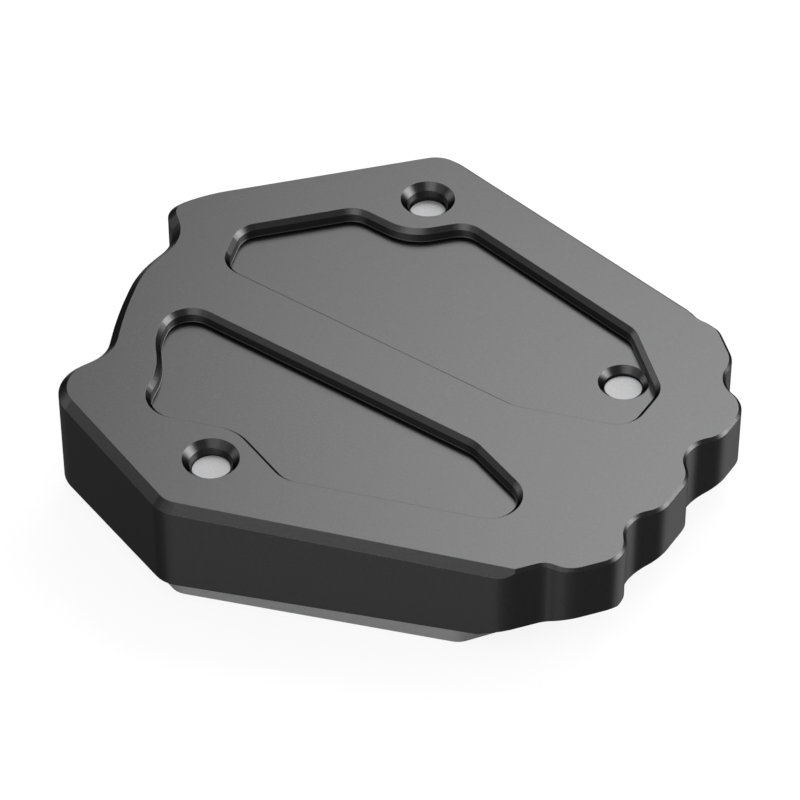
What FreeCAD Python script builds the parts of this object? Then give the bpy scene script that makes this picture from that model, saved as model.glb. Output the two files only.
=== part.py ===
import FreeCAD, Part
import math
import os

# Foot enlarger for a motorcycle kickstand, in millimetres, lying on its clamp plate with the ground face up.
# The outline, the pockets and the screws are placed from a centre in the plane of the ground face, which then
# leans on the seat. The origin lies on the clamp plate's outer face, below the middle of the base plate.

MIDDLE = (-0.85, 0.34)        # middle of the base plate's length and width, from the centre

# Wedge of the base plate
CENTRE_THICKNESS = 14.5       # ground face to seat, below the centre
WEDGE_ANGLE = 3.03            # between the ground face and the seat, degrees
WEDGE_HEADING = 164.3         # direction in which the wedge grows thicker, degrees

# Edges of the base plate
WIDE_CHAMFER = 1.27           # ground edge of the plain sides
NARROW_CHAMFER = 0.45         # ground edge of the scalloped sides
BEVEL_ANGLE = 36.0            # slope of the underside next to the scalloped sides, degrees
BEVEL_WALL = 9.4              # height of the wall that the bevel leaves

# Headings of the sides: the direction in which each runs, clockwise round the part, degrees
FRONT_HEADING = 180.0
FRONT_LEFT_HEADING = 140.0
LOWER_LOBE_HEADING = 50.1
LEFT_WAIST_HEADING = 98.9
LEFT_HEADING = 90.2
LEFT_SHOULDER_HEADING = 67.2
UPPER_LOBE_HEADING = 120.5
BACK_CREST_HEADING = 45.7
BACK_LEFT_HEADING = 30.0
BACK_RIGHT_HEADING = -30.0
BACK_SCALLOPS_HEADING = -60.0
RIGHT_HEADING = -90.0
RIGHT_SCALLOPS_HEADING = -106.2
FRONT_SCALLOP_HEADING = -145.0

# Plain sides of the base plate, clockwise from the front: heading, distance from the centre to the wall,
# and radius of the corner that ends the side
FRONT = (FRONT_HEADING, 42.4, 5.0)
FRONT_LEFT = (FRONT_LEFT_HEADING, 49.5, 6.6)
LOWER_LOBE = (LOWER_LOBE_HEADING, 25.15, 5.15)
LEFT_WAIST = (LEFT_WAIST_HEADING, 45.43, 71.5)
LEFT = (LEFT_HEADING, 45.26, 18.2)
LEFT_SHOULDER = (LEFT_SHOULDER_HEADING, 43.7, 6.2)
UPPER_LOBE = (UPPER_LOBE_HEADING, 29.45, 3.6)
BACK_CREST = (BACK_CREST_HEADING, 46.75, 26.8)
BACK_LEFT = (BACK_LEFT_HEADING, 41.95, 5.8)
BACK_RIGHT = (BACK_RIGHT_HEADING, 33.82)

# Scalloped sides, clockwise from the back: heading and distance from the centre to the wall
BACK_SCALLOPS = (BACK_SCALLOPS_HEADING, 42.61)
RIGHT_SCALLOPS = (RIGHT_SCALLOPS_HEADING, 46.4)
FRONT_SCALLOP = (FRONT_SCALLOP_HEADING, 50.68)
HEEL_STEP = 2.65              # from the front scallop's wall to the heel's wall
HEEL_RADIUS = 5.0             # corner between the heel and the front
SHOULDER_RADIUS = 4.9         # rounding between a side and its notches
NOTCH_RADIUS = 4.5
BACK_NOTCH = (39.47, 20.25)
UPPER_NOTCH = (48.24, 5.4)
LOWER_NOTCH = (46.49, -12.86)
FRONT_NOTCH = (41.71, -29.41)
STEP_RADIUS = 2.25            # hollow where the heel steps back from the front scallop
STEP_PLACE = 28.46            # its place across the plate

# Pockets in the ground face
POCKET_DEPTH = 2.0
POCKET_CHAMFER = 0.7
POCKET_FILLET = 0.15          # foot of the pocket walls
POCKET_CORNER = 3.8
PLAIN_LAND = 10.4             # from a plain side's wall to the pocket's wall
SCALLOP_LAND = 12.6           # from a scalloped side's wall to the pocket's wall
BACK_POCKET_LEFT_LAND = 12.36     # from the left side to the back pocket's wall
FRONT_POCKET_LEFT_LAND = 8.59     # from the left side to the front pocket's wall
WEB_HEADING = 160.0           # of the web between the pockets
WEB_PLACE = 2.68              # from the centre to the back pocket's side of the web
WEB_WIDTH = 10.57

# Walls of the pockets that follow no side of the plate: heading, distance from the centre to the wall,
# below zero beyond it, and radius of the corner that ends the wall
BACK_POCKET_DIP_HEADING = -20.9
BACK_POCKET_DIP = (BACK_POCKET_DIP_HEADING, 18.3, 8.15)
BACK_POCKET_RISE = 24.0       # from the centre to the wall alongside the back left side
BACK_POCKET_FRONT = (FRONT_HEADING, 8.68, 5.1)
NOSE_HEADING = -40.0
FRONT_POCKET_RIGHT = (NOSE_HEADING, -6.3, 4.1)
FRONT_POCKET_BEND = 5.4
FRONT_POCKET_NOSE = 4.1
FRONT_POCKET_DIP = (FRONT_LEFT_HEADING, 31.78, 7.0)
FRONT_POCKET_RISE = (FRONT_HEADING, 24.14, 4.45)
LOWER_LEFT_HEADING = 84.8
MIDDLE_LEFT_HEADING = 112.4
UPPER_LEFT_HEADING = 85.3
FRONT_POCKET_LOWER_LEFT = (LOWER_LEFT_HEADING, 33.03, 14.3)
FRONT_POCKET_MIDDLE_LEFT = (MIDDLE_LEFT_HEADING, 37.9, 11.6)

# Screws: how far inside the walls of two sides the mouth of each hole lies, and the screw's length,
# head included
BACK_SCREW_LEFT_INSET = 10.66     # inside the back left side
BACK_SCREW_RIGHT_INSET = 10.41    # inside the back right side
RIGHT_SCREW_INSET = 18.6      # inside the right scallops
RIGHT_SCREW_BACK_INSET = 16.19    # inside the back scallops
FRONT_SCREW_INSET = 11.1      # inside the front and the front left side
BACK_SCREW_LENGTH = 15.8
RIGHT_SCREW_LENGTH = 12.75
FRONT_SCREW_LENGTH = 16.2
THREAD_DIAMETER = 6.0
TIP_DIAMETER = 5.4
HEAD_DIAMETER = 12.0
SOCKET_WIDTH = 4.0            # hexagon socket, across its flats
SOCKET_DEPTH = 2.0
SHANK_CLEARANCE = 0.25        # round the shank in the clamp plate

# Mouths of the screw holes, square to the ground face: a countersink, a steep lead and a bore
BORE_DIAMETER = 5.6
LEAD_DIAMETER = 6.2
LEAD_TOP = 1.0                # depth below the ground face
LEAD_BOTTOM = 1.9
FACE_SINK_DIAMETER = 8.2      # countersink in the ground face
POCKET_SINK_DIAMETER = 7.4    # countersink in the floor of the back pocket
BORE_BELOW_TIP = 0.25         # how far the bore reaches past the end of the screw

# Clamp plate: how far its sides lie inside the base plate's, and the radii of its corners
CLAMP_THICKNESS = 3.0
CLAMP_CHAMFER = 0.15          # edge of the outer face
CLAMP_FRONT_HEADING = 178.94
CLAMP_FRONT_INSET = 1.1
CLAMP_FRONT_LEFT_INSET = 1.6
CLAMP_LEFT_INSET = 3.26
CLAMP_BACK_INSET = 2.0
CLAMP_SCALLOP_INSET = 8.9
CLAMP_FRONT_RIGHT_INSET = 7.48
CLAMP_FRONT_CORNER = 3.2      # at both ends of the front
CLAMP_CORNER = 6.0
CLAMP_SCALLOP_CORNER = 8.0

# Seat for the stand's foot in the base plate, and the way for its leg through the clamp plate
FOOT_CENTRE = (-11.0, 1.0)
FOOT_LENGTH = 46.0
FOOT_WIDTH = 34.0
FOOT_RADIUS = 12.0
FOOT_DEPTH = 7.0
LEG_WIDTH = 24.0
LEG_REACH = 6.0               # how far the way for the leg reaches past the centre

# Stock that the pieces are cut from: larger than any of them
BLANK = 1.2 * FRONT_SCALLOP[1]    # half width
STOCK_DEPTH = 2 * CENTRE_THICKNESS
STOCK_CORNER = 4 * WIDE_CHAMFER

TOLERANCE = 1e-5


def normal(side):
    """Outward direction of a side."""
    angle = math.radians(side[0])
    return FreeCAD.Vector(-math.sin(angle), math.cos(angle), 0)


def travel(side):
    """Clockwise direction along a side."""
    angle = math.radians(side[0])
    return FreeCAD.Vector(math.cos(angle), math.sin(angle), 0)


def inside(side, land, radius):
    """A side parallel to another, further in, that ends in a corner of the given radius."""
    return (side[0], side[1] - land, radius)


def meet(side, following):
    """The point where two sides cross."""
    a = normal(side)
    b = normal(following)
    across = a.x * b.y - a.y * b.x
    return FreeCAD.Vector((side[1] * b.y - following[1] * a.y) / across,
                          (following[1] * a.x - side[1] * b.x) / across, 0)


def between(side, inset, following, following_inset):
    """The point that lies the given distances inside the walls of two sides."""
    return meet(inside(side, inset, 0), inside(following, following_inset, 0))


def arc(start, end, centre, radius):
    """The shorter arc from start to end."""
    middle = (start + end) * 0.5 - centre
    middle.normalize()
    return Part.Arc(start, centre + middle * radius, end).toShape()


def rounded(sides):
    """A face bounded by sides that each end in a rounded corner."""
    corners = []
    for index, side in enumerate(sides):
        following = sides[(index + 1) % len(sides)]
        turn = math.radians((following[0] - side[0] + 180) % 360 - 180)
        run = side[2] * math.tan(abs(turn) / 2)
        corner = meet(side, following)
        start = corner - travel(side) * run
        end = corner + travel(following) * run
        centre = start + normal(side) * math.copysign(side[2], turn)
        corners.append((start, end, centre, side[2]))
    edges = []
    for index, corner in enumerate(corners):
        edges.append(Part.makeLine(corners[index - 1][1], corner[0]))
        edges.append(arc(*corner))
    return Part.Face(Part.Wire(edges))


def prism(face, bottom, top):
    """A solid over a face drawn at height zero."""
    solid = face.extrude(FreeCAD.Vector(0, 0, top - bottom))
    solid.translate(FreeCAD.Vector(0, 0, bottom))
    return solid


def flat_edges(shape, height):
    """Edges that lie in a level plane."""
    return [edge for edge in shape.Edges
            if max(abs(edge.BoundBox.ZMin - height), abs(edge.BoundBox.ZMax - height)) < TOLERANCE]


def plain_blank():
    """The stock with its plain sides and wide chamfer, running on past the scalloped sides."""
    back_right = inside(BACK_RIGHT, 0, STOCK_CORNER)
    closing = (RIGHT_HEADING, BLANK, STOCK_CORNER)
    sides = (FRONT, FRONT_LEFT, LOWER_LOBE, LEFT_WAIST, LEFT, LEFT_SHOULDER, UPPER_LOBE, BACK_CREST,
             BACK_LEFT, back_right, closing)
    blank = prism(rounded(sides), -STOCK_DEPTH, 0)
    return blank.makeChamfer(WIDE_CHAMFER, flat_edges(blank, 0))


def shoulder(side, notch, way):
    """The disc that rounds a side into a notch which lies before it, way 1, or after it, way -1."""
    centre, radius = notch
    height = side[1] - SHOULDER_RADIUS
    rise = centre.dot(normal(side)) - height
    run = math.sqrt((SHOULDER_RADIUS + radius) ** 2 - rise ** 2)
    place = normal(side) * height + travel(side) * (centre.dot(travel(side)) + way * run)
    return (place, SHOULDER_RADIUS)


def foot(disc, side):
    """The point where a disc touches a side."""
    centre = disc[0]
    return centre + normal(side) * (side[1] - centre.dot(normal(side)))


def touch(disc, other):
    """The point where two discs touch."""
    share = disc[1] / (disc[1] + other[1])
    return disc[0] + (other[0] - disc[0]) * share


def scallop_chain():
    """Discs along the scalloped sides, each with the side that leads on from it, if one does."""
    back, upper, lower, front = [(FreeCAD.Vector(place[0], place[1], 0), NOTCH_RADIUS)
                                 for place in (BACK_NOTCH, UPPER_NOTCH, LOWER_NOTCH, FRONT_NOTCH)]
    heel = inside(FRONT_SCALLOP, HEEL_STEP, HEEL_RADIUS)
    hollow = (meet(inside(heel, -STEP_RADIUS, 0), (RIGHT_HEADING, STEP_PLACE)), STEP_RADIUS)
    corner = (between(heel, HEEL_RADIUS, FRONT, HEEL_RADIUS), HEEL_RADIUS)
    return (
        (back, None),
        (shoulder(BACK_SCALLOPS, back, 1), BACK_SCALLOPS),
        (shoulder(BACK_SCALLOPS, upper, -1), None),
        (upper, None),
        (shoulder(RIGHT_SCALLOPS, upper, 1), RIGHT_SCALLOPS),
        (shoulder(RIGHT_SCALLOPS, lower, -1), None),
        (lower, None),
        (shoulder(RIGHT_SCALLOPS, lower, 1), RIGHT_SCALLOPS),
        (shoulder(RIGHT_SCALLOPS, front, -1), None),
        (front, None),
        (shoulder(FRONT_SCALLOP, front, 1), FRONT_SCALLOP),
        (shoulder(FRONT_SCALLOP, hollow, -1), None),
        (hollow, heel),
        (corner, FRONT),
    )


def scalloped_blank():
    """The stock with its scalloped sides and narrow chamfer, reaching past all of the plain sides."""
    chain = scallop_chain()
    lead = (RIGHT_HEADING, BACK_NOTCH[0] - NOTCH_RADIUS)
    start = FreeCAD.Vector(lead[1], BLANK, 0)
    point = foot(chain[0][0], lead)
    edges = [Part.makeLine(start, point)]
    for (disc, side), (following, _) in zip(chain, chain[1:]):
        end = foot(disc, side) if side else touch(disc, following)
        edges.append(arc(point, end, disc[0], disc[1]))
        point = end
        if side:
            point = foot(following, side)
            edges.append(Part.makeLine(end, point))
    disc, side = chain[-1]
    end = foot(disc, side)
    edges.append(arc(point, end, disc[0], disc[1]))
    far = [end, FreeCAD.Vector(-BLANK, end.y, 0), FreeCAD.Vector(-BLANK, BLANK, 0), start]
    edges += [Part.makeLine(a, b) for a, b in zip(far, far[1:])]
    blank = prism(Part.Face(Part.Wire(edges)), -STOCK_DEPTH, 0)
    return blank.makeChamfer(NARROW_CHAMFER, flat_edges(blank, 0))


def bevel(side):
    """What the bevel takes off below one scalloped side."""
    slope = math.tan(math.radians(BEVEL_ANGLE))
    out = normal(side)
    middle = travel(side) * BLANK

    def point(distance, height):
        return out * (side[1] + distance) - middle + FreeCAD.Vector(0, 0, height)

    rise = slope * STOCK_DEPTH
    points = [point(STOCK_DEPTH, rise - BEVEL_WALL), point(-STOCK_DEPTH, -rise - BEVEL_WALL),
              point(STOCK_DEPTH, -rise - BEVEL_WALL)]
    return Part.Face(Part.makePolygon(points + points[:1])).extrude(middle * 2)


def back_pocket():
    """Outline of the back pocket at its walls, clockwise."""
    return rounded((
        inside(BACK_LEFT, PLAIN_LAND, POCKET_CORNER),
        BACK_POCKET_DIP,
        (BACK_LEFT_HEADING, BACK_POCKET_RISE, POCKET_CORNER),
        inside(BACK_RIGHT, PLAIN_LAND, POCKET_CORNER),
        inside(BACK_SCALLOPS, SCALLOP_LAND, POCKET_CORNER),
        inside(RIGHT_SCALLOPS, SCALLOP_LAND, POCKET_CORNER),
        BACK_POCKET_FRONT,
        (WEB_HEADING, WEB_PLACE, POCKET_CORNER),
        (-RIGHT_HEADING, LEFT[1] - BACK_POCKET_LEFT_LAND, POCKET_CORNER),
    ))


def front_pocket():
    """Outline of the front pocket at its walls, clockwise."""
    return rounded((
        (WEB_HEADING - FRONT_HEADING, -WEB_PLACE - WEB_WIDTH, FRONT_POCKET_BEND),
        FRONT_POCKET_RIGHT,
        inside(FRONT, PLAIN_LAND, FRONT_POCKET_NOSE),
        FRONT_POCKET_DIP,
        FRONT_POCKET_RISE,
        FRONT_POCKET_LOWER_LEFT,
        FRONT_POCKET_MIDDLE_LEFT,
        (UPPER_LEFT_HEADING, LEFT[1] - FRONT_POCKET_LEFT_LAND, POCKET_CORNER),
    ))


def seated(shape):
    """Moves what is drawn below the ground face's plane to its place on the seat."""
    lean = math.tan(math.radians(WEDGE_ANGLE))
    heading = math.radians(WEDGE_HEADING)
    upright = FreeCAD.Vector(lean * math.cos(heading), lean * math.sin(heading), 1)
    turn = FreeCAD.Rotation(upright, FreeCAD.Vector(0, 0, 1))
    height = CLAMP_THICKNESS + CENTRE_THICKNESS * math.cos(math.radians(WEDGE_ANGLE))
    placed = shape.copy()
    placed.Placement = FreeCAD.Placement(FreeCAD.Vector(0, 0, height), turn)
    return placed


def screws():
    """Name of each screw, its end on the seat, and the mouth of its hole as drawn below the ground face."""
    back = between(BACK_LEFT, BACK_SCREW_LEFT_INSET, BACK_RIGHT, BACK_SCREW_RIGHT_INSET)
    right = between(BACK_SCALLOPS, RIGHT_SCREW_BACK_INSET, RIGHT_SCALLOPS, RIGHT_SCREW_INSET)
    front = between(FRONT, FRONT_SCREW_INSET, FRONT_LEFT, FRONT_SCREW_INSET)
    places = (
        ("screw_back", back, 0, BACK_SCREW_LENGTH, FACE_SINK_DIAMETER),
        ("screw_right", right, -POCKET_DEPTH, RIGHT_SCREW_LENGTH, POCKET_SINK_DIAMETER),
        ("screw_front", front, 0, FRONT_SCREW_LENGTH, FACE_SINK_DIAMETER),
    )
    made = []
    for name, place, face, length, sink in places:
        surface = seated(Part.Vertex(place.x, place.y, face)).Point
        tip = face - (surface.z - length) / math.cos(math.radians(WEDGE_ANGLE))
        end = seated(Part.Vertex(place.x, place.y, tip)).Point
        made.append((name, end, mouth(place, face, tip, sink)))
    return made


def cylinder(centre, diameter, bottom, top):
    place = FreeCAD.Vector(centre.x, centre.y, bottom)
    return Part.makeCylinder(diameter / 2, top - bottom, place)


def cone(centre, bottom_diameter, top_diameter, bottom, top):
    place = FreeCAD.Vector(centre.x, centre.y, bottom)
    return Part.makeCone(bottom_diameter / 2, top_diameter / 2, top - bottom, place)


def head(centre, top):
    """The 90 degree head of a screw, from its flat up to the given height or to its shank."""
    height = min(top, (HEAD_DIAMETER - THREAD_DIAMETER) / 2)
    return cone(centre, HEAD_DIAMETER, HEAD_DIAMETER - 2 * height, 0, height)


def shank(end):
    """The threaded part of a screw up to its chamfered end."""
    tip = (THREAD_DIAMETER - TIP_DIAMETER) / 2
    thread = cylinder(end, THREAD_DIAMETER, (HEAD_DIAMETER - THREAD_DIAMETER) / 2, end.z - tip)
    return thread.fuse(cone(end, THREAD_DIAMETER, TIP_DIAMETER, end.z - tip, end.z))


def screw(end):
    """A countersunk screw, its head down and its flat end up."""
    turn = FreeCAD.Rotation(FreeCAD.Vector(0, 0, 1), 60)
    corner = FreeCAD.Vector(SOCKET_WIDTH / 2 / math.cos(turn.Angle / 2), 0, 0)
    corners = [corner]
    for _ in range(6):
        corners.append(turn.multVec(corners[-1]))
    socket = prism(Part.Face(Part.makePolygon(corners)), 0, SOCKET_DEPTH)
    socket.translate(FreeCAD.Vector(end.x, end.y, 0))
    return head(end, end.z).fuse(shank(end)).removeSplitter().cut(socket)


def mouth(place, face, tip, sink):
    """A bore with a lead and a countersink, from the end of a screw to the face that it opens in."""
    bore = cylinder(place, BORE_DIAMETER, tip - BORE_BELOW_TIP, face)
    lead = cone(place, BORE_DIAMETER, LEAD_DIAMETER, -LEAD_BOTTOM, -LEAD_TOP)
    flare = cone(place, BORE_DIAMETER, sink, face - (sink - BORE_DIAMETER) / 2, face)
    return bore.multiFuse([lead, flare])


def foot_seat():
    """The hollow for the foot of the stand."""
    x, y = FOOT_CENTRE
    sides = (
        (FRONT_HEADING, FOOT_WIDTH / 2 - y, FOOT_RADIUS),
        (-RIGHT_HEADING, FOOT_LENGTH / 2 - x, FOOT_RADIUS),
        (0, FOOT_WIDTH / 2 + y, FOOT_RADIUS),
        (RIGHT_HEADING, FOOT_LENGTH / 2 + x, FOOT_RADIUS),
    )
    return prism(rounded(sides), 0, CLAMP_THICKNESS + FOOT_DEPTH)


def borders(edge, solids):
    """Whether an edge lies on one of the solids."""
    middle = Part.Vertex(edge.valueAt((edge.FirstParameter + edge.LastParameter) / 2))
    return any(solid.distToShape(middle)[0] < TOLERANCE for solid in solids)


def base_plate():
    plate = plain_blank().common(scalloped_blank())
    pockets = [prism(face, -POCKET_DEPTH, POCKET_DEPTH) for face in (back_pocket(), front_pocket())]
    plate = plate.cut(pockets)
    rims = [edge for edge in flat_edges(plate, 0) if borders(edge, pockets)]
    plate = plate.makeChamfer(POCKET_CHAMFER, rims)
    plate = plate.makeFillet(POCKET_FILLET, flat_edges(plate, -POCKET_DEPTH))
    plate = plate.cut([bevel(side) for side in (BACK_SCALLOPS, RIGHT_SCALLOPS, FRONT_SCALLOP)])
    plate = seated(plate)
    below = Part.makeBox(2 * BLANK, 2 * BLANK, STOCK_DEPTH,
                         FreeCAD.Vector(-BLANK, -BLANK, CLAMP_THICKNESS - STOCK_DEPTH))
    cuts = [below, foot_seat()]
    for _, end, opening in screws():
        cuts += [head(end, end.z), shank(end), seated(opening)]
    return plate.cut(cuts)


def clamp_plate():
    sides = (
        (CLAMP_FRONT_HEADING, FRONT[1] - CLAMP_FRONT_INSET, CLAMP_FRONT_CORNER),
        inside(FRONT_LEFT, CLAMP_FRONT_LEFT_INSET, CLAMP_CORNER),
        inside(LEFT, CLAMP_LEFT_INSET, CLAMP_CORNER),
        inside(BACK_LEFT, CLAMP_BACK_INSET, CLAMP_CORNER),
        inside(BACK_RIGHT, CLAMP_BACK_INSET, CLAMP_SCALLOP_CORNER),
        inside(BACK_SCALLOPS, CLAMP_SCALLOP_INSET, CLAMP_SCALLOP_CORNER),
        inside(RIGHT_SCALLOPS, CLAMP_SCALLOP_INSET, CLAMP_SCALLOP_CORNER),
        inside(FRONT_SCALLOP, CLAMP_FRONT_RIGHT_INSET, CLAMP_FRONT_CORNER),
    )
    plate = prism(rounded(sides), 0, CLAMP_THICKNESS)
    plate = plate.makeChamfer(CLAMP_CHAMFER, flat_edges(plate, 0))
    y = FOOT_CENTRE[1]
    bow = cylinder(FreeCAD.Vector(LEG_REACH - LEG_WIDTH / 2, y, 0), LEG_WIDTH, 0, CLAMP_THICKNESS)
    way = Part.makeBox(BLANK, LEG_WIDTH, CLAMP_THICKNESS,
                       FreeCAD.Vector(LEG_REACH - LEG_WIDTH / 2 - BLANK, y - LEG_WIDTH / 2, 0))
    holes = []
    for _, end, _ in screws():
        holes.append(head(end, CLAMP_THICKNESS))
        holes.append(cylinder(end, THREAD_DIAMETER + 2 * SHANK_CLEARANCE, 0, CLAMP_THICKNESS))
    return plate.cut([bow, way] + holes)


def export(name, shape):
    solid = shape.Solids[0]
    solid.translate(FreeCAD.Vector(-MIDDLE[0], -MIDDLE[1], 0))
    print(name, len(shape.Solids), solid.isValid(), round(solid.Volume, 1), solid.BoundBox)
    solid.exportStep("parts/" + name + ".step")


os.makedirs("parts", exist_ok=True)
export("base_plate", base_plate())
export("clamp_plate", clamp_plate())
for name, end, _ in screws():
    export(name, screw(end))
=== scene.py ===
"""Looks of a foot enlarger for a motorcycle kickstand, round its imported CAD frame, in metres."""
import math

import bpy
from mathutils import Matrix, Vector


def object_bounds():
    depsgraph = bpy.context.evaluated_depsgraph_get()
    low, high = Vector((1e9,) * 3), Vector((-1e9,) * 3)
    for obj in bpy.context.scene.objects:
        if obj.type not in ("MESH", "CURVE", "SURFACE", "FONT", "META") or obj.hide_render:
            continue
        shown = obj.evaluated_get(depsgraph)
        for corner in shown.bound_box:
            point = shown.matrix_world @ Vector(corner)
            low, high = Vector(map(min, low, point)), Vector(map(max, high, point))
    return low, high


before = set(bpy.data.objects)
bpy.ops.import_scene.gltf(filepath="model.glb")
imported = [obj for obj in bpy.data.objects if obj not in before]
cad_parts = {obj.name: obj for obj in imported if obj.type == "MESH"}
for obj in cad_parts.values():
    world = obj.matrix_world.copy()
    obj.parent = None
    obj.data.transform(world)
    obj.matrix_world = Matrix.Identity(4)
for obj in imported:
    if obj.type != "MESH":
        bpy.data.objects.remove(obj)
cad_low, cad_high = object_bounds()

MM = 0.001
SCREWS = ("screw_back", "screw_right", "screw_front")

# Kinds of face, told by the upward part of the normal
LEVEL = 0.98          # a face above it is flat
STEEP = 0.45          # a face below it is a side
UPRIGHT = 0.15        # a side below it is the wall of a bore,
BORE_REACH = 3.4 * MM  # if it lies this near to a screw's axis

# Finishes: darkest and lightest colour, scale and detail of the grain, height of its relief,
# and the radius to which edges look rounded
ANODISED = {
    "dark": (0.040, 0.040, 0.0405),
    "light": (0.050, 0.050, 0.0505),
    "scale": 4200,
    "detail": 2,
    "relief": 0.006 * MM,
    "rounding": 0.09 * MM,
}
BARE_ALUMINIUM = {
    "dark": (0.42, 0.42, 0.425),
    "light": (0.48, 0.48, 0.485),
    "scale": 2600,
    "detail": 3,
    "relief": 0.006 * MM,
    "rounding": 0.1 * MM,
}
SCREW_STEEL = {
    "dark": (0.31, 0.31, 0.315),
    "light": (0.38, 0.38, 0.385),
    "scale": 3500,
    "detail": 3,
    "relief": 0.008 * MM,
    "rounding": 0.1 * MM,
}

# Lowest and highest roughness of each finish
ANODISED_FLATS = (0.28, 0.32)
ANODISED_BEVELS = (0.22, 0.26)
ANODISED_SIDES = (0.47, 0.50)
BARE_FACES = (0.38, 0.46)
SCREW_FACES = (0.60, 0.70)

# How far milling marks draw out reflections up and down on the sides, from 0 to 1
ANODISED_STRETCH = 1.0
BARE_STRETCH = 0.55

# Reflection at a glancing angle: 1 is that of clean metal. The sides and bevels get less of it than the
# flats, a painted shade that darkens them where they are seen at a glancing angle
FLATS_EDGE_SHEEN = 0.5
SIDES_EDGE_SHEEN_PAINTED_SHADE = 0.35

SCREW_METAL = 0.5          # share of metal in the dull zinc
NOISE_ROUGHNESS = 0.6
NOISE_SPAN = (0.3, 0.7)    # the noise values that are spread over a finish's range
ROUNDING_SAMPLES = 6

# Camera, measured from the photograph: place, aim and upward direction, in millimetres
CAMERA_PLACE = Vector((132.77, -423.63, 395.37))
CAMERA_AIM = Vector((0.85, -12.91, 17.30))
CAMERA_UP = Vector((0.050887, -0.014304, 0.998602))
LENS = 180.72
SENSOR = 36.0
CLIP_NEAR = 0.01
CLIP_FAR = 20

# Softboxes: azimuth from +Y towards +X and elevation in degrees, distance, width and height in metres,
# and radiance at the middle, from which each falls off to its edges
LAMP_AIM = Vector((0, 0, 0.012))
LAMPS = {
    "back": (13, 49, 1.00, 1.14, 0.60, 10.0),
    "top": (180, 84, 1.20, 1.30, 1.10, 1.5),
    "right": (67, 24, 1.00, 1.05, 0.54, 11.3),
    "front": (-145, 42, 1.00, 1.30, 0.60, 0.7),
    "low front": (-161, 12, 1.00, 1.00, 0.32, 5.0),
    "left": (-72, 23, 1.00, 1.10, 0.50, 2.3),
    "near camera": (178, 52, 1.00, 0.80, 0.30, 3.6),
}
FALLOFF_PEAK = 1 / 16  # of x (1 - x) y (1 - y), at the middle of a lamp

SKY = 0.35            # world light on matt surfaces
ROOM_SHEEN = 0.38     # the room as metal shows it
FLOOR_COLOUR = 0.90   # of the matt floor as the camera sees it
FLOOR_BOUNCE = 0.30   # and as light and metal meet it
FLOOR_GLOW = 0.88     # share of plain white in the floor as the camera sees it
FLOOR_SHEEN = 0.12    # the same share as metal shows it
FLOOR_SIZE = 6.0
FLOOR_DROP = 0.05 * MM  # below the part's lowest face, so that the two don't coincide


def adder(tree):
    """A maker of nodes in a node tree."""

    def add(kind, **values):
        node = tree.nodes.new(kind)
        for name, value in values.items():
            setattr(node, name, value)
        return node

    return add


def nodes_of(material):
    """The material's node tree, its principled shader and a maker of nodes."""
    material.use_nodes = True
    tree = material.node_tree
    return tree, tree.nodes["Principled BSDF"], adder(tree)


def grain(tree, add, scale, detail):
    """A noise pattern in the part's own coordinates, with its features 1 / scale metres apart."""
    place = add("ShaderNodeTexCoord")
    noise = add("ShaderNodeTexNoise")
    noise.inputs["Scale"].default_value = scale
    noise.inputs["Detail"].default_value = detail
    noise.inputs["Roughness"].default_value = NOISE_ROUGHNESS
    tree.links.new(place.outputs["Object"], noise.inputs["Vector"])
    return noise.outputs["Fac"]


def ranged(tree, add, value, low, high):
    """A noise value spread from low to high."""
    node = add("ShaderNodeMapRange")
    node.inputs["From Min"].default_value = NOISE_SPAN[0]
    node.inputs["From Max"].default_value = NOISE_SPAN[1]
    node.inputs["To Min"].default_value = low
    node.inputs["To Max"].default_value = high
    tree.links.new(value, node.inputs["Value"])
    return node.outputs["Result"]


def blended(tree, add, share, low, high):
    """A colour between two, by a share from 0 to 1."""
    node = add("ShaderNodeMix", data_type="RGBA")
    node.inputs["A"].default_value = (*low, 1)
    node.inputs["B"].default_value = (*high, 1)
    tree.links.new(share, node.inputs["Factor"])
    return node.outputs["Result"]


def softened(add, radius):
    """The surface's normal with edges rounded to a radius."""
    node = add("ShaderNodeBevel", samples=ROUNDING_SAMPLES)
    node.inputs["Radius"].default_value = radius
    return node.outputs["Normal"]


def bumped(tree, add, height, distance, normal):
    """A normal with a relief of a noise value on it."""
    node = add("ShaderNodeBump")
    node.inputs["Strength"].default_value = 1.0
    node.inputs["Distance"].default_value = distance
    tree.links.new(height, node.inputs["Height"])
    tree.links.new(normal, node.inputs["Normal"])
    return node.outputs["Normal"]


def make_finish(name, look, roughness, stretch=0.0, metal=1.0, edge_sheen=1.0):
    """A grained metal, with its reflections drawn out up and down as level milling marks do."""
    material = bpy.data.materials.new(name)
    tree, shader, add = nodes_of(material)
    fine = grain(tree, add, look["scale"], look["detail"])
    colour = blended(tree, add, ranged(tree, add, fine, 0, 1), look["dark"], look["light"])
    tree.links.new(colour, shader.inputs["Base Color"])
    tree.links.new(ranged(tree, add, fine, *roughness), shader.inputs["Roughness"])
    shader.inputs["Metallic"].default_value = metal
    shader.inputs["Specular Tint"].default_value = (edge_sheen, edge_sheen, edge_sheen, 1)
    normal = bumped(tree, add, fine, look["relief"], softened(add, look["rounding"]))
    tree.links.new(normal, shader.inputs["Normal"])
    shader.inputs["Anisotropic"].default_value = stretch
    upward = add("ShaderNodeCombineXYZ")
    upward.inputs["Z"].default_value = 1.0
    tree.links.new(upward.outputs[0], shader.inputs["Tangent"])
    return material


def screw_axes():
    """Middle of each screw as seen from above."""
    axes = []
    for node in SCREWS:
        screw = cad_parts[node]
        corners = [screw.matrix_world @ Vector(corner) for corner in screw.bound_box]
        axes.append(sum(corners, Vector()).xy / len(corners))
    return axes


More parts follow.
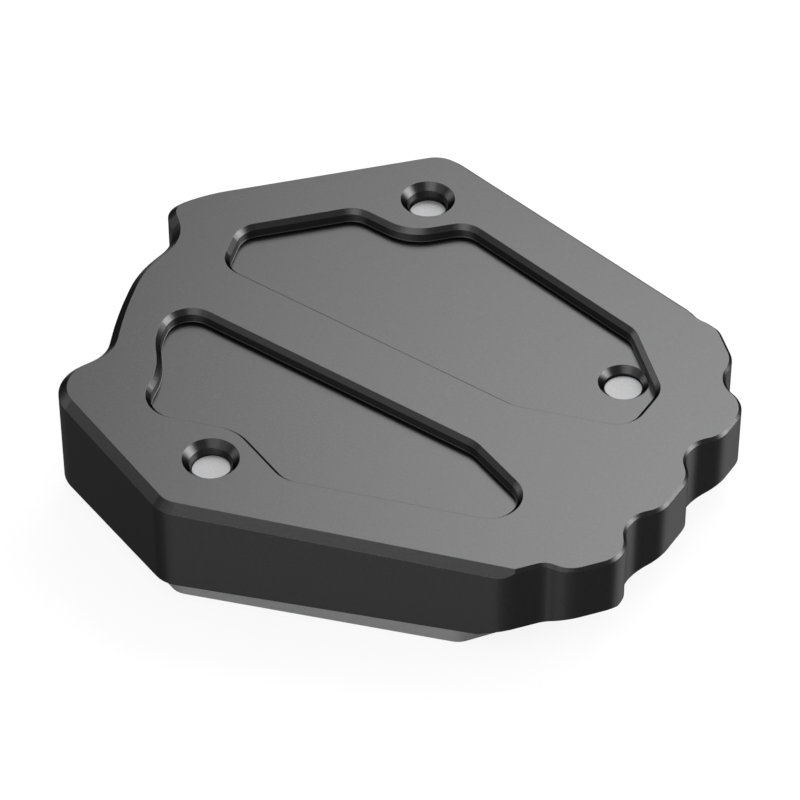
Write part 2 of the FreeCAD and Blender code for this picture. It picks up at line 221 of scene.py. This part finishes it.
def dress(node, flats, bevels, sides):
    """Gives a CAD node one finish on its flat faces, one on its bevels and bores, and one on its sides."""
    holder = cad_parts[node]
    holder.data.materials.clear()
    for material in (flats, bevels, sides):
        holder.data.materials.append(material)
    axes = screw_axes()
    for face in holder.data.polygons:
        rise = abs(face.normal.z)
        place = (holder.matrix_world @ face.center).xy
        in_bore = rise < UPRIGHT and min((place - axis).length for axis in axes) < BORE_REACH
        if rise > LEVEL:
            face.material_index = 0
        elif rise >= STEEP or in_bore:
            face.material_index = 1
        else:
            face.material_index = 2


def by_ray(tree, matt, seen, mirrored):
    """A value for what the camera sees, another for what metal or glass shows, and a third for light."""
    path = tree.nodes.new("ShaderNodeLightPath")
    value = matt
    rays = {"Is Glossy Ray": mirrored, "Is Transmission Ray": mirrored, "Is Camera Ray": seen}
    for name, own in rays.items():
        mix = tree.nodes.new("ShaderNodeMix")
        tree.links.new(path.outputs[name], mix.inputs["Factor"])
        if isinstance(value, float):
            mix.inputs["A"].default_value = value
        else:
            tree.links.new(value, mix.inputs["A"])
        mix.inputs["B"].default_value = own
        value = mix.outputs["Result"]
    return value


def make_world():
    """A plain white room, at a level of its own for each kind of ray."""
    world = bpy.data.worlds.new("studio")
    world.use_nodes = True
    tree = world.node_tree
    background = tree.nodes["Background"]
    background.inputs["Color"].default_value = (1, 1, 1, 1)
    tree.links.new(by_ray(tree, SKY, 1.0, ROOM_SHEEN), background.inputs["Strength"])
    bpy.context.scene.world = world


def make_floor():
    """A pale matt floor with a share of plain white in it, clear from below."""
    half = FLOOR_SIZE / 2
    corners = [(-half, -half, 0), (half, -half, 0), (half, half, 0), (-half, half, 0)]
    mesh = bpy.data.meshes.new("floor")
    mesh.from_pydata(corners, [], [(0, 1, 2, 3)])
    floor = bpy.data.objects.new("floor", mesh)
    floor.location.z = cad_low[2] - FLOOR_DROP
    bpy.context.scene.collection.objects.link(floor)
    material = bpy.data.materials.new("floor")
    tree, shader, add = nodes_of(material)
    tree.nodes.remove(shader)
    matt = add("ShaderNodeBsdfDiffuse")
    tree.links.new(by_ray(tree, FLOOR_BOUNCE, FLOOR_COLOUR, FLOOR_BOUNCE), matt.inputs["Color"])
    glow = add("ShaderNodeEmission")
    lit = add("ShaderNodeMixShader")
    tree.links.new(by_ray(tree, 0.0, FLOOR_GLOW, FLOOR_SHEEN), lit.inputs[0])
    tree.links.new(matt.outputs[0], lit.inputs[1])
    tree.links.new(glow.outputs[0], lit.inputs[2])
    surface = add("ShaderNodeMixShader")
    tree.links.new(add("ShaderNodeNewGeometry").outputs["Backfacing"], surface.inputs[0])
    tree.links.new(lit.outputs[0], surface.inputs[1])
    tree.links.new(add("ShaderNodeBsdfTransparent").outputs[0], surface.inputs[2])
    tree.links.new(surface.outputs[0], tree.nodes["Material Output"].inputs["Surface"])
    mesh.materials.append(material)


def make_lamp(name, azimuth, elevation, distance, width, height, radiance):
    """A softbox aimed at the part, hidden from the camera."""
    lamp = bpy.data.lights.new(name, "AREA")
    lamp.shape = "RECTANGLE"
    lamp.size = width
    lamp.size_y = height
    lamp.energy = radiance * math.pi * width * height
    lamp.use_nodes = True
    tree = lamp.node_tree
    add = adder(tree)
    place = add("ShaderNodeSeparateXYZ")
    tree.links.new(add("ShaderNodeNewGeometry").outputs["Parametric"], place.inputs[0])
    dome = add("ShaderNodeMath", operation="MULTIPLY")
    for slot, axis in enumerate("XY"):
        across = place.outputs[axis]
        rest = add("ShaderNodeMath", operation="SUBTRACT")
        rest.inputs[0].default_value = 1.0
        tree.links.new(across, rest.inputs[1])
        arch = add("ShaderNodeMath", operation="MULTIPLY")
        tree.links.new(across, arch.inputs[0])
        tree.links.new(rest.outputs[0], arch.inputs[1])
        tree.links.new(arch.outputs[0], dome.inputs[slot])
    full = add("ShaderNodeMapRange")
    full.inputs["From Max"].default_value = FALLOFF_PEAK
    tree.links.new(dome.outputs[0], full.inputs["Value"])
    tree.links.new(full.outputs[0], tree.nodes["Emission"].inputs["Strength"])
    holder = bpy.data.objects.new(name, lamp)
    turn, rise = math.radians(azimuth), math.radians(elevation)
    way = Vector((math.sin(turn) * math.cos(rise), math.cos(turn) * math.cos(rise), math.sin(rise)))
    holder.location = LAMP_AIM + way * distance
    holder.rotation_mode = "QUATERNION"
    holder.rotation_quaternion = way.to_track_quat("Z", "Y")
    holder.visible_camera = False
    bpy.context.scene.collection.objects.link(holder)


def make_camera():
    """The photograph's view."""
    camera = bpy.data.cameras.new("camera")
    camera.lens = LENS
    camera.sensor_width = SENSOR
    camera.clip_start = CLIP_NEAR
    camera.clip_end = CLIP_FAR
    holder = bpy.data.objects.new("camera", camera)
    back = (CAMERA_PLACE - CAMERA_AIM).normalized()
    right = CAMERA_UP.cross(back).normalized()
    up = back.cross(right)
    turn = Matrix((right, up, back)).transposed().to_4x4()
    holder.matrix_world = Matrix.Translation(CAMERA_PLACE * MM) @ turn
    bpy.context.scene.collection.objects.link(holder)
    bpy.context.scene.camera = holder


make_camera()
make_world()
make_floor()
for name, values in LAMPS.items():
    make_lamp(name, *values)

# The bevels and sides differ from the flats in roughness, and they also reflect less at a glancing angle,
# which is painted shade on them
dress(
    "base_plate",
    make_finish("anodised", ANODISED, ANODISED_FLATS, edge_sheen=FLATS_EDGE_SHEEN),
    make_finish("anodised_bevels_painted_shade", ANODISED, ANODISED_BEVELS, edge_sheen=SIDES_EDGE_SHEEN_PAINTED_SHADE),
    make_finish("anodised_sides_painted_shade", ANODISED, ANODISED_SIDES, ANODISED_STRETCH, edge_sheen=SIDES_EDGE_SHEEN_PAINTED_SHADE),
)
bare_faces = make_finish("bare_aluminium", BARE_ALUMINIUM, BARE_FACES)
bare_sides = make_finish("bare_aluminium_sides", BARE_ALUMINIUM, BARE_FACES, BARE_STRETCH)
dress("clamp_plate", bare_faces, bare_faces, bare_sides)
dull_steel = make_finish("screw_steel", SCREW_STEEL, SCREW_FACES, metal=SCREW_METAL)
for node in SCREWS:
    dress(node, dull_steel, dull_steel, dull_steel)

bpy.context.scene.view_settings.view_transform = "Standard"
